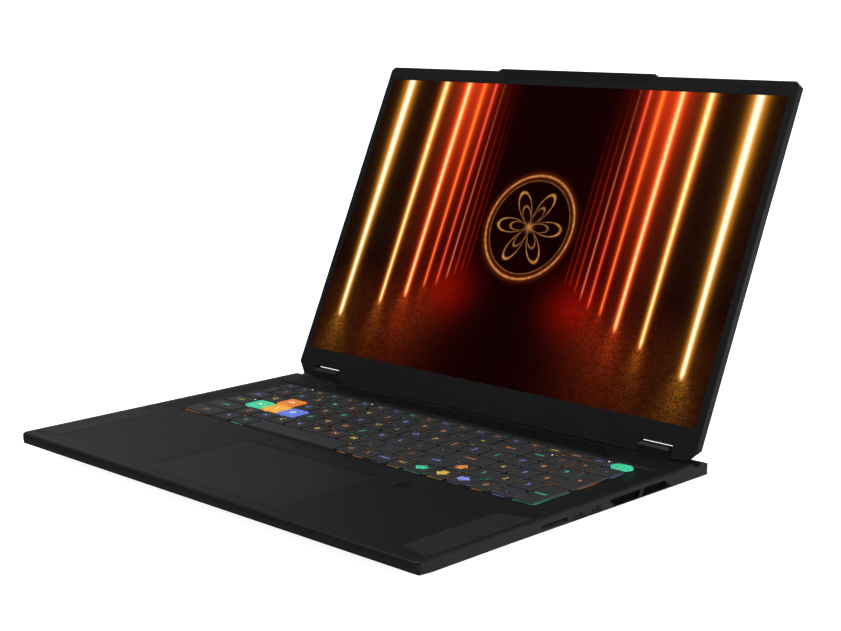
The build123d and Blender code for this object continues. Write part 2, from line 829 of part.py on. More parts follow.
def make_ports():
    mouth = half_width - 1.0
    card, first_c, second_c = right_ports
    audio, usb_one, usb_two, video, power = left_ports

    with BuildPart() as usb_c_ports:
        for y, width, height, corner in (first_c, second_c):
            port_shell(mouth, y, width, height, corner, -8.0, 0.35, 0.7, 0.7)
    finish(usb_c_ports, "usb_c_ports")

    with BuildPart() as card_reader:
        y, width, height, corner = card
        port_shell(mouth, y, width, height, corner, -20.0, 0.3, 0.0)
    finish(card_reader, "card_reader")

    with BuildPart() as usb_a_ports:
        for y, width, height, corner in (usb_one, usb_two):
            port_shell(-mouth, y, width, height, corner, 14.0, 0.4, 1.6, 0.86)
    finish(usb_a_ports, "usb_a_ports")

    with BuildPart() as video_port:
        y, width, height, corner = video
        port_shell(-mouth, y, width, height, corner, 11.0, 0.4, 1.1, 0.8)
    finish(video_port, "video_port")

    with BuildPart() as audio_jack:
        y, width, height, corner = audio
        with BuildSketch(side(-mouth)):
            with Locations((y, -port_depth)):
                Circle(width / 2)
                Circle(1.75, mode=Mode.SUBTRACT)
        extrude(amount=13.0)
    finish(audio_jack, "audio_jack")

    with BuildPart() as power_inlet:
        y, width, height, corner = power
        with BuildSketch(side(-mouth)):
            with Locations((y, -port_depth)):
                Circle(width / 2)
        extrude(amount=12.0)
        with BuildSketch(side(-mouth)):
            with Locations((y, -port_depth)):
                Circle(2.75)
                Circle(0.8, mode=Mode.SUBTRACT)
        extrude(amount=10.0, mode=Mode.SUBTRACT)
    finish(power_inlet, "power_inlet")


# ---- base: inside ----------------------------------------------------------------------------
def inner_block(x, y, width, depth, top_depth, height, corner=1.0):
    """A block inside the base, given by its middle, its size and the depth of its top."""
    with BuildSketch(below(top_depth + height)) as block:
        with Locations((x, y)):
            RectangleRounded(width, depth, corner)
    extrude(block.sketch, amount=height)


board_depth = 6.6
board_thickness = 1.0
chip_height = 1.2
chamber_height = 1.6


def make_electronics():
    with BuildPart() as mainboard:
        inner_block(0, 178, 236, 112, board_depth, board_thickness)
        for x, width in ((-38, 34), (42, 40)):
            inner_block(x, 190, width, 32, board_depth + board_thickness, chip_height)
        with BuildSketch(below(board_depth + board_thickness + 0.9)):
            with Locations((0, 160)):
                with GridLocations(12, 9, 8, 2):
                    Rectangle(7, 4)
        extrude(amount=0.9)
    finish(mainboard, "mainboard")

    with BuildPart() as vapour_chamber:
        inner_block(0, 190, 150, 48, board_depth + board_thickness + chip_height, chamber_height)
        chamber_top = board_depth + board_thickness + chip_height
        for sign in (-1, 1):
            inner_block(sign * 82, 206, 16, 82, chamber_top, chamber_height)
            inner_block(sign * 84, 252, 62, 12, chamber_top, chamber_height)
    finish(vapour_chamber, "vapour_chamber")

    with BuildPart() as fin_stacks:
        for sign in (-1, 1):
            inner_block(sign * 136, 266, 86, 34, 5.2, 3.6, 0.3)
        with BuildSketch(below(5.2 + 3.6)):
            for sign in (-1, 1):
                with Locations((sign * 136, 266)):
                    with GridLocations(2.6, 1, 32, 1):
                        Rectangle(1.7, 35)
        extrude(amount=3.0, mode=Mode.SUBTRACT)
    finish(fin_stacks, "fin_stacks")

    with BuildPart() as memory_modules:
        for sign in (-1, 1):
            inner_block(sign * 36, 139, 68, 26, board_depth + board_thickness + 0.2, 1.0, 0.4)
            with BuildSketch(below(board_depth + board_thickness + 2.2)):
                with Locations((sign * 36, 139)):
                    with GridLocations(15, 1, 4, 1):
                        Rectangle(11, 9)
            extrude(amount=1.0)
    finish(memory_modules, "memory_modules")

    with BuildPart() as storage_cards:
        for x in (-98, 98):
            inner_block(x, 140, 22, 34, board_depth + board_thickness + 0.2, 0.8, 0.4)
            inner_block(x, 136, 18, 16, board_depth + board_thickness + 1.0, 1.2, 0.4)
    finish(storage_cards, "storage_cards")

    with BuildPart() as battery_pack:
        for column in range(4):
            inner_block(-97.5 + 65 * column, 71, 64.4, 64, 4.6, 7.6, 3.0)
        inner_block(0, 108, 250, 9, 5.4, 5.0, 0.5)
        inner_block(0, 103.5, 250, 2, 6.4, 2.0, 0.2)
    finish(battery_pack, "battery_pack")


def make_fan(sign, word):
    """A blower: a housing open to the back, and a bladed rotor on its post."""
    x = sign * fan_x
    chamber_top = fan_top_depth + fan_plate
    chamber_height = fan_height - 2 * fan_plate
    with BuildPart() as housing:
        inner_block(x, fan_y, fan_size, fan_size, fan_top_depth, fan_height, 3.0)
        with BuildSketch(below(chamber_top + chamber_height)):
            with Locations((x, fan_y)):
                Circle(rotor_chamber)
            with Locations((x, fan_y + fan_size / 4)):
                Rectangle(2 * rotor_chamber, fan_size / 2 + 2)
        extrude(amount=chamber_height, mode=Mode.SUBTRACT)
        with BuildSketch(below(fan_top_depth + fan_height)):
            with Locations((x, fan_y)):
                Circle(19)
        extrude(amount=fan_height, mode=Mode.SUBTRACT)
        with BuildSketch(below(fan_top_depth + fan_height)):
            with Locations((x, fan_y)):
                Circle(9)
                with PolarLocations(14, 3):
                    Rectangle(13, 2.5)
        extrude(amount=fan_plate)
        with BuildSketch(below(fan_top_depth + fan_height)):
            with Locations((x, fan_y)):
                Circle(1.5)
        extrude(amount=fan_height - 1.2)
    finish(housing, f"fan_housing_{word}")

    rotor_bottom = chamber_top + chamber_height - 0.5
    with BuildPart() as rotor:
        with BuildSketch(below(rotor_bottom)):
            with Locations((x, fan_y)):
                Circle(rotor_hub)
        extrude(amount=chamber_height - 0.5 - 0.5)
        with BuildSketch(below(rotor_bottom)):
            with Locations((x, fan_y)):
                with PolarLocations((rotor_hub + rotor_radius) / 2 - 1.2, rotor_blades, rotate=True):
                    Rectangle(rotor_radius - rotor_hub + 0.8, 0.7, rotation=-22)
        extrude(amount=chamber_height - 1.4)
        with BuildSketch(below(rotor_bottom)):
            with Locations((x, fan_y)):
                Circle(1.5 + running_gap)
        extrude(amount=chamber_height, mode=Mode.SUBTRACT)
    finish(rotor, f"fan_rotor_{word}")


# ---- lid -------------------------------------------------------------------------------------
def lid_outline(inset=0.0, lip=camera_lip):
    """The lid's face outline, from its foot to its top edge, with the camera lip."""
    x = half_width - inset
    top = lid_top - inset
    foot = lid_bottom + inset
    lip_half = camera_lip_half - inset
    Polygon(
        (-x + lid_foot_corner_x, foot),
        (x - lid_foot_corner_x, foot),
        (x, foot + lid_foot_corner_y),
        (x, top - lid_corner),
        (x - lid_corner, top),
        (lip_half + camera_lip_slope, top),
        (lip_half, top + lip),
        (-lip_half, top + lip),
        (-lip_half - camera_lip_slope, top),
        (-x + lid_corner, top),
        (-x, top - lid_corner),
        (-x, foot + lid_foot_corner_y),
        align=None,
    )


def hinge_notches(grow=0.0):
    """The two cut-outs in the lid's foot that clear the hinge covers."""
    width = hinge_cover_length + 2 * hinge_notch_gap + 2 * grow
    bottom = lid_bottom - 2
    top = hinge_notch_top + grow
    for sign in (-1, 1):
        with Locations((sign * hinge_x, (bottom + top) / 2)):
            Rectangle(width, top - bottom, mode=Mode.SUBTRACT)


window_bottom = active_bottom + 246.6
window_bottom_half = 70.5


def camera_window_outline(grow=0.0):
    """The glossy four-sided window over the camera."""
    top = lid_top + camera_lip - lid_rim - 0.3
    Polygon(
        (-window_bottom_half - grow, window_bottom - grow),
        (window_bottom_half + grow, window_bottom - grow),
        (window_bottom_half + 4.5 + grow, top + grow),
        (-window_bottom_half - 4.5 - grow, top + grow),
        align=None,
    )


camera_row = active_bottom + 249.6
camera_spots = [(-28.3, 1.9), (-16.8, 1.1), (-0.8, 1.0), (7.0, 1.0), (18.2, 1.7), (39.0, 0.5)]
bumper_x = 170.5
bumper_row = 249.3
bumper_length = 29.0
bumper_height = 2.0
bumper_proud = 0.3


def make_lid_shells():
    with BuildPart() as lid_back_cover:
        with BuildSketch(lid_plane(lid_back)):
            lid_outline()
        extrude(amount=lid_front - lid_back)
        back_face = lid_back_cover.faces().sort_by(Axis.Y)[-1]
        chamfer(back_face.edges(), lid_back_chamfer)
        with BuildSketch(lid_plane(lid_back - 1)):
            for sign in (-1, 1):
                with Locations((sign * hinge_x, (lid_bottom - 2 + hinge_notch_top) / 2)):
                    Rectangle(hinge_cover_length + 2 * hinge_notch_gap, hinge_notch_top - lid_bottom + 2)
        extrude(amount=lid_front - lid_back + 2, mode=Mode.SUBTRACT)
        with BuildSketch(lid_plane(lid_back + lid_skin)):
            lid_outline(inset=lid_wall + 0.9, lip=camera_lip)
            hinge_notches(grow=1.0)
        extrude(amount=lid_front - lid_back, mode=Mode.SUBTRACT)
        with BuildSketch(lid_plane(lid_front - bezel_thickness)):
            lid_outline(inset=lid_rim)
            hinge_notches(grow=0.5)
        extrude(amount=bezel_thickness + 1, mode=Mode.SUBTRACT)
        with BuildSketch(Plane.YZ.offset(-hinge_x - shaft_length / 2)):
            with Locations((front_y + hinge_y, hinge_z)):
                Circle(shaft_radius + 0.1)
        extrude(amount=2 * hinge_x + shaft_length, mode=Mode.SUBTRACT)
    finish(lid_back_cover, "lid_back_cover")

    with BuildPart() as display_bezel:
        with BuildSketch(lid_plane(lid_front - bezel_thickness)):
            lid_outline(inset=lid_rim + 0.05)
            hinge_notches(grow=0.55)
            with Locations((0, active_bottom + active_height / 2)):
                Rectangle(active_width, active_height, mode=Mode.SUBTRACT)
        extrude(amount=bezel_thickness)
        with BuildSketch(lid_plane(lid_front - bezel_thickness)):
            camera_window_outline(grow=0.05)
        extrude(amount=bezel_thickness, mode=Mode.SUBTRACT)
    finish(display_bezel, "display_bezel")


def make_display():
    panel_front = lid_front - bezel_thickness
    with BuildPart() as lcd_panel:
        with BuildSketch(lid_plane(panel_front - panel_thickness)):
            height = active_height + panel_border + panel_driver_border
            with Locations((0, active_bottom - panel_driver_border + height / 2)):
                Rectangle(active_width + 2 * panel_border, height)
        extrude(amount=panel_thickness)
    finish(lcd_panel, "lcd_panel")

    with BuildPart() as display_surface:
        with BuildSketch(lid_plane(panel_front)):
            with Locations((0, active_bottom + active_height / 2)):
                Rectangle(active_width - 0.2, active_height - 0.2)
        extrude(amount=surface_thickness)
    finish(display_surface, "display_surface")


def make_camera():
    with BuildPart() as camera_window:
        with BuildSketch(lid_plane(lid_front - bezel_thickness)):
            camera_window_outline()
        extrude(amount=bezel_thickness)
        with BuildSketch(lid_plane(lid_front - bezel_thickness)):
            for x, radius in camera_spots:
                with Locations((x, camera_row)):
                    Circle(radius + 0.02)
        extrude(amount=bezel_thickness, mode=Mode.SUBTRACT)
    finish(camera_window, "camera_window")

    with BuildPart() as camera_lenses:
        with BuildSketch(lid_plane(lid_front - bezel_thickness)):
            for x, radius in camera_spots:
                with Locations((x, camera_row)):
                    Circle(radius)
        extrude(amount=bezel_thickness - 0.1)
    finish(camera_lenses, "camera_lenses")

    with BuildPart() as camera_module:
        with BuildSketch(lid_plane(lid_front - bezel_thickness - 1.0)):
            with Locations((0, camera_row)):
                Rectangle(92, 4.6)
        extrude(amount=1.0)
        with BuildSketch(lid_plane(lid_front - bezel_thickness - 3.0)):
            with Locations((18.2, camera_row), (-28.3, camera_row)):
                Rectangle(5.0, 4.6)
        extrude(amount=2.0)
    finish(camera_module, "camera_module")


def make_lid_trim():
    with BuildPart() as lid_bumpers:
        with BuildSketch(lid_plane(lid_front)):
            for sign in (-1, 1):
                with Locations((sign * bumper_x, active_bottom + bumper_row)):
                    SlotOverall(bumper_length, bumper_height)
        extrude(amount=bumper_proud)
    finish(lid_bumpers, "lid_bumpers")

    with BuildPart() as antenna_strips:
        for sign in (-1, 1):
            with BuildSketch(lid_plane(lid_back + lid_skin)):
                with Locations((sign * 120, active_bottom + 247.0)):
                    Rectangle(60, 4.0)
            extrude(amount=0.8)
    finish(antenna_strips, "antenna_strips")


def make_lid_hinges():
    """Arms fixed inside the lid carry the shafts that turn in the base's barrels."""
    inner_reach = 40.0
    gap = hinge_cover_length / 2 + hinge_notch_gap + 1.3
    plate_back = lid_back + lid_skin
    with BuildPart() as hinge_arms:
        for sign in (-1, 1):
            for way, width in ((-1, 22), (1, 6)):
                x = sign * (hinge_x + way * (gap + width / 2))
                with BuildSketch(lid_plane(plate_back)):
                    with Locations((x, inner_reach / 2 - 1.9)):
                        Rectangle(width, inner_reach)
                extrude(amount=0.9)
                with BuildSketch(lid_plane(plate_back)):
                    with Locations((x, 0.2)):
                        Rectangle(width, 4.2)
                extrude(amount=4.1)
                with BuildSketch(Plane.YZ.offset(x - width / 2)):
                    with Locations((front_y + hinge_y, hinge_z)):
                        Circle(shaft_radius + 0.02)
                extrude(amount=width, mode=Mode.SUBTRACT)
    finish(hinge_arms, "hinge_arms")

    with BuildPart() as hinge_shafts:
        for sign in (-1, 1):
            with BuildSketch(Plane.YZ.offset(sign * hinge_x - shaft_length / 2)):
                with Locations((front_y + hinge_y, hinge_z)):
                    Circle(shaft_radius)
            extrude(amount=shaft_length)
    finish(hinge_shafts, "hinge_shafts")


make_top_case()
make_bottom_cover()
make_bottom_screws()
make_rubber_feet()
make_keyboard_frame()
make_keyboard_layers()
make_keys()
make_touchpad()
make_sensor()
make_speakers()
make_vent_strip()
make_base_hinges()
make_ports()
make_electronics()
make_fan(-1, "left")
make_fan(1, "right")
make_lid_shells()
make_display()
make_camera()
make_lid_trim()
make_lid_hinges()
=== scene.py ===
import json
import math

import bmesh
import bpy
from mathutils import Matrix, Vector


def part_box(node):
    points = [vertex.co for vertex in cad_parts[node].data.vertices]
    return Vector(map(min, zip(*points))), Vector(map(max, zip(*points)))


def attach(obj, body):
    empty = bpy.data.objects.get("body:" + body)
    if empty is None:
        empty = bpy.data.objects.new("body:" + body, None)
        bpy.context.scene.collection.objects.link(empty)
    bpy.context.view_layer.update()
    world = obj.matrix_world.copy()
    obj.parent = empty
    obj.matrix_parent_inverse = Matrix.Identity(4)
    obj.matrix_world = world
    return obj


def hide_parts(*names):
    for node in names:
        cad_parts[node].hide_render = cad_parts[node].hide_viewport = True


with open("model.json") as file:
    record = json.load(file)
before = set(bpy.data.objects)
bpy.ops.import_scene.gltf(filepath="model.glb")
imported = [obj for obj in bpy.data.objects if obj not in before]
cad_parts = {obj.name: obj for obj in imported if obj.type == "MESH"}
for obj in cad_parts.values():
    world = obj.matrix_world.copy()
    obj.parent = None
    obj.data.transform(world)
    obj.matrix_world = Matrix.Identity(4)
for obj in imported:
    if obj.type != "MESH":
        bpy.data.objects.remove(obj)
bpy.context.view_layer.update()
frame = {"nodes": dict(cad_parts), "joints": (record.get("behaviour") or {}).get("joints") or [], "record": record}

MM = 0.001
NODES = frame["nodes"]
JOINTS = {joint["name"]: joint for joint in frame["joints"]}

# ---- places worked out from the frame ------------------------------------------------------
LID_OPEN = math.radians(JOINTS["lid_hinge"]["range_deg"][1])
LID_UP = Vector((0, -math.cos(LID_OPEN), math.sin(LID_OPEN)))
DECK_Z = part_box("top_case")[1].z
FRONT_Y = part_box("top_case")[0].y


# ---- camera, lights and stage ----------------------------------------------------------------
CAMERA_TARGET = Vector((33.6, 175.4, 111.1)) * MM + Vector((0, FRONT_Y, 0))
CAMERA_DISTANCE = 1.1
CAMERA_AZIMUTH = 43.896
CAMERA_ELEVATION = 10.898
CAMERA_LENS = 68.02
SENSOR_WIDTH = 36.0


def make_camera():
    azimuth = math.radians(CAMERA_AZIMUTH)
    elevation = math.radians(CAMERA_ELEVATION)
    back = Vector((
        math.sin(azimuth) * math.cos(elevation),
        -math.cos(azimuth) * math.cos(elevation),
        math.sin(elevation),
    ))
    camera = bpy.data.objects.new("camera", bpy.data.cameras.new("camera"))
    camera.data.lens = CAMERA_LENS
    camera.data.sensor_width = SENSOR_WIDTH
    camera.location = CAMERA_TARGET + back * CAMERA_DISTANCE
    turn = back.to_track_quat("Z", "Y").to_matrix().to_4x4()
    camera.matrix_world = Matrix.Translation(camera.location) @ turn
    bpy.context.scene.collection.objects.link(camera)
    bpy.context.scene.camera = camera


def make_area_light(name, place, aim, width, height, power, colour=(1, 1, 1)):
    light = bpy.data.lights.new(name, "AREA")
    light.shape = "RECTANGLE"
    light.size = width
    light.size_y = height
    light.energy = power
    light.color = colour
    holder = bpy.data.objects.new(name, light)
    direction = Vector(place) - Vector(aim)
    holder.location = place
    holder.rotation_euler = direction.to_track_quat("Z", "Y").to_euler()
    bpy.context.scene.collection.objects.link(holder)


# name, place, point it faces, width, height and power in watts of each soft box
LIGHT_BOXES = (
    ("side_box", (0.80, 0.42, 0.10), (0.18, -0.17, 0.0), 0.35, 0.16, 3),
    ("rear_box", (-0.5, 1.6, 0.40), (0.0, 0.2, 0.12), 1.3, 0.7, 12),
    ("right_box", (1.4, -0.2, 0.35), (0.15, -0.1, 0.0), 0.9, 0.5, 8),
    ("left_box", (-1.6, 0.5, 1.3), (-0.1, -0.1, 0), 0.6, 0.5, 2.5),
)


def make_lights():
    sun = bpy.data.lights.new("overhead", "SUN")
    sun.energy = 1.0
    sun.angle = math.radians(60)
    holder = bpy.data.objects.new("overhead", sun)
    holder.rotation_euler = (math.radians(18), math.radians(-10), 0)
    bpy.context.scene.collection.objects.link(holder)
    for box in LIGHT_BOXES:
        make_area_light(*box)

    world = bpy.data.worlds.new("studio")
    world.use_nodes = True
    background = world.node_tree.nodes["Background"]
    background.inputs["Color"].default_value = (0.94, 0.96, 1.0, 1)
    background.inputs["Strength"].default_value = 0.10
    bpy.context.scene.world = world
    bpy.context.scene.view_settings.view_transform = "Standard"


STAGE_RADIUS = 9.0
STAGE_BEND = 2.0
STAGE_HEIGHT = 6.0
STAGE_SIDES = 72


def make_stage():
    """A round pale floor that bends up into a wall all round; gloss on the object doesn't mirror it."""
    steps = 16
    profile = []
    for i in range(steps + 1):
        angle = i / steps * math.pi / 2
        run = STAGE_RADIUS - STAGE_BEND + STAGE_BEND * math.sin(angle)
        profile.append((run, STAGE_BEND * (1 - math.cos(angle))))
    profile.append((STAGE_RADIUS, STAGE_HEIGHT))
    verts = []
    for run, height in profile:
        for side in range(STAGE_SIDES):
            turn = side / STAGE_SIDES * 2 * math.pi
            verts.append((run * math.cos(turn), run * math.sin(turn), height))
    faces = [tuple(range(STAGE_SIDES))]
    for ring in range(len(profile) - 1):
        for side in range(STAGE_SIDES):
            after = (side + 1) % STAGE_SIDES
            low = ring * STAGE_SIDES
            high = low + STAGE_SIDES
            faces.append((low + side, high + side, high + after, low + after))
    mesh = bpy.data.meshes.new("floor")
    mesh.from_pydata(verts, [], faces)
    for polygon in mesh.polygons:
        polygon.use_smooth = True
    floor = bpy.data.objects.new("floor", mesh)
    floor.visible_glossy = False
    bpy.context.scene.collection.objects.link(floor)
    material, _, shader = new_material("pale_paper")
    shader.inputs["Base Color"].default_value = (0.7, 0.7, 0.7, 1)
    shader.inputs["Roughness"].default_value = 0.9
    shader.inputs["Specular IOR Level"].default_value = 0.0
    shader.inputs["Emission Color"].default_value = (1, 1, 1, 1)
    shader.inputs["Emission Strength"].default_value = 0.86
    mesh.materials.append(material)


# ---- shader arithmetic -----------------------------------------------------------------------
class Value:
    """A number or a socket in a node tree; arithmetic on it adds Math nodes."""

    def __init__(self, tree, source):
        self.tree = tree
        self.source = source

    def _math(self, operation, *others, clamp=False):
        node = self.tree.nodes.new("ShaderNodeMath")
        node.operation = operation
        node.use_clamp = clamp
        for socket, item in zip(node.inputs, (self, *others)):
            item = item.source if isinstance(item, Value) else item
            if isinstance(item, bpy.types.NodeSocket):
                self.tree.links.new(item, socket)
            else:
                socket.default_value = item
        return Value(self.tree, node.outputs[0])

    def __add__(self, other):
        return self._math("ADD", other)

    def __sub__(self, other):
        return self._math("SUBTRACT", other)

    def __mul__(self, other):
        return self._math("MULTIPLY", other)

    def __truediv__(self, other):
        return self._math("DIVIDE", other)

    def power(self, other):
        return self._math("POWER", other)

    def magnitude(self):
        return self._math("ABSOLUTE")

    def root(self):
        return self._math("SQRT")

    def exponential(self):
        return self._math("EXPONENT")

    def cosine(self):
        return self._math("COSINE")

    def angle_from(self, run):
        return self._math("ARCTAN2", run)

    def clamped(self):
        return self._math("MULTIPLY", 1.0, clamp=True)

    def highest(self, other):
        return self._math("MAXIMUM", other)

    def bell(self, middle, width):
        """1 at the middle, falling away as a Gaussian."""
        offset = (self - middle) / width
        return Value(self.tree, math.e)._math("POWER", offset * offset * -1.0)

    def step(self, low, high):
        """0 below low, 1 above high, smooth between."""
        node = self.tree.nodes.new("ShaderNodeMapRange")
        node.interpolation_type = "SMOOTHSTEP"
        node.clamp = True
        node.inputs["From Min"].default_value = low
        node.inputs["From Max"].default_value = high
        self.tree.links.new(self.source, node.inputs["Value"])
        return Value(self.tree, node.outputs["Result"])


def coordinates(tree):
    """The object's own coordinates as three Values, in millimetres."""
    place = tree.nodes.new("ShaderNodeTexCoord")
    split = tree.nodes.new("ShaderNodeSeparateXYZ")
    tree.links.new(place.outputs["Object"], split.inputs[0])
    return [Value(tree, split.outputs[axis]) * (1 / MM) for axis in "XYZ"]


def noise(tree, scale, detail=2.0, stretch=(1, 1, 1), roughness=0.5):
    """Noise over the object's own coordinates; scale is in features per metre."""
    place = tree.nodes.new("ShaderNodeTexCoord")
    mapping = tree.nodes.new("ShaderNodeMapping")
    mapping.inputs["Scale"].default_value = stretch
    texture = tree.nodes.new("ShaderNodeTexNoise")
    texture.inputs["Scale"].default_value = scale
    texture.inputs["Detail"].default_value = detail
    texture.inputs["Roughness"].default_value = roughness
    tree.links.new(place.outputs["Object"], mapping.inputs["Vector"])
    tree.links.new(mapping.outputs["Vector"], texture.inputs["Vector"])
    return Value(tree, texture.outputs["Fac"])


def colour_mix(tree, low, high, factor):
    """A colour between low and high by factor, as a socket."""
    mix = tree.nodes.new("ShaderNodeMix")
    mix.data_type = "RGBA"
    mix.inputs["A"].default_value = (*low, 1)
    mix.inputs["B"].default_value = (*high, 1)
    tree.links.new(factor.source, mix.inputs["Factor"])
    return mix.outputs["Result"]


def new_material(name):
    material = bpy.data.materials.new(name)
    material.use_nodes = True
    shader = material.node_tree.nodes["Principled BSDF"]
    return material, material.node_tree, shader


def add_bump(tree, shader, height, strength, distance=0.02 * MM):
    bump = tree.nodes.new("ShaderNodeBump")
    bump.inputs["Strength"].default_value = strength
    bump.inputs["Distance"].default_value = distance
    tree.links.new(height.source, bump.inputs["Height"])
    tree.links.new(bump.outputs["Normal"], shader.inputs["Normal"])


def finish_material(
    name,
    colour,
    metallic=0.0,
    roughness=0.45,
    spread=0.12,
    grain=2600.0,
    grain_strength=0.25,
    specular=0.3,
    smudge=0.05,
    coat=0.0,
):
    """A dense finish: fine grain in colour and bump, and slow smudges in the roughness."""
    material, tree, shader = new_material(name)
    fine = noise(tree, grain, 2.0)
    slow = noise(tree, 22.0, 3.0)
    dark = tuple(c * (1 - spread) for c in colour)
    light = tuple(min(1.0, c * (1 + spread)) for c in colour)
    blend = (fine * 0.6 + slow * 0.4).step(0.3, 0.7)
    tree.links.new(colour_mix(tree, dark, light, blend), shader.inputs["Base Color"])
    rough = slow * smudge + (roughness - smudge / 2)
    tree.links.new(rough.source, shader.inputs["Roughness"])
    shader.inputs["Metallic"].default_value = metallic
    shader.inputs["Specular IOR Level"].default_value = specular
    shader.inputs["Coat Weight"].default_value = coat
    add_bump(tree, shader, fine, grain_strength)
    return material


def lit_material(name, colour, strength, base=(0.01, 0.01, 0.01), flicker=0.25, scale=700.0):
    """A lit translucent plastic whose glow is slightly uneven."""
    material, tree, shader = new_material(name)
    uneven = noise(tree, scale, 3.0).step(0.25, 0.75)
    dim = tuple(c * (1 - flicker) for c in colour)
    bright = tuple(min(1.0, c * (1 + flicker * 0.6)) for c in colour)
    tree.links.new(colour_mix(tree, dim, bright, uneven), shader.inputs["Emission Color"])
    half = tuple(c * 0.5 for c in colour)
    tree.links.new(colour_mix(tree, base, half, uneven), shader.inputs["Base Color"])
    shader.inputs["Emission Strength"].default_value = strength
    shader.inputs["Roughness"].default_value = 0.5
    return material


# ---- the picture on the screen ---------------------------------------------------------------
# each beam: distance from the middle, width of its glow at the foot and at the top, height of its
# foot, colour of its core, colour of its glow, and how much it fades towards the top
BEAMS = [
    (171.5, 3.0, 6.2, 33.0, (1.60, 1.40, 0.95), (1.00, 0.36, 0.025), 0.0),
    (131.0, 2.2, 4.4, 49.0, (1.50, 1.00, 0.45), (1.05, 0.24, 0.018), 0.0),
    (105.5, 2.5, 4.2, 58.0, (1.10, 0.75, 0.32), (1.15, 0.095, 0.008), 0.0),
    (88.7, 1.7, 3.6, 68.0, (0.80, 0.19, 0.025), (0.55, 0.03, 0.003), 0.0),
    (76.5, 1.7, 2.6, 72.0, (0.55, 0.09, 0.045), (0.32, 0.010, 0.001), 0.0),
    (67.5, 1.5, 1.5, 78.0, (0.55, 0.15, 0.06), (0.12, 0.004, 0.0), 0.8),
    (60.5, 1.4, 1.3, 82.0, (0.32, 0.018, 0.002), (0.07, 0.002, 0.0), 0.95),
    (54.5, 1.3, 1.2, 84.0, (0.17, 0.006, 0.0), (0.05, 0.001, 0.0), 0.95),
    (49.5, 1.2, 1.1, 86.0, (0.10, 0.005, 0.0), (0.03, 0.0, 0.0), 1.0),
]
CORE_SHARE = 0.42
PICTURE_HEIGHT = 242.1
FLOOR_LINE = 88.0
MIRROR_FALL = 17.0
MIRROR_SPREAD = 0.8
EMBLEM_HEIGHT = 126.0
EMBLEM_RADIUS = 42.0
ROSETTE_RADIUS = 31.0
ROSETTE_PETALS = 3


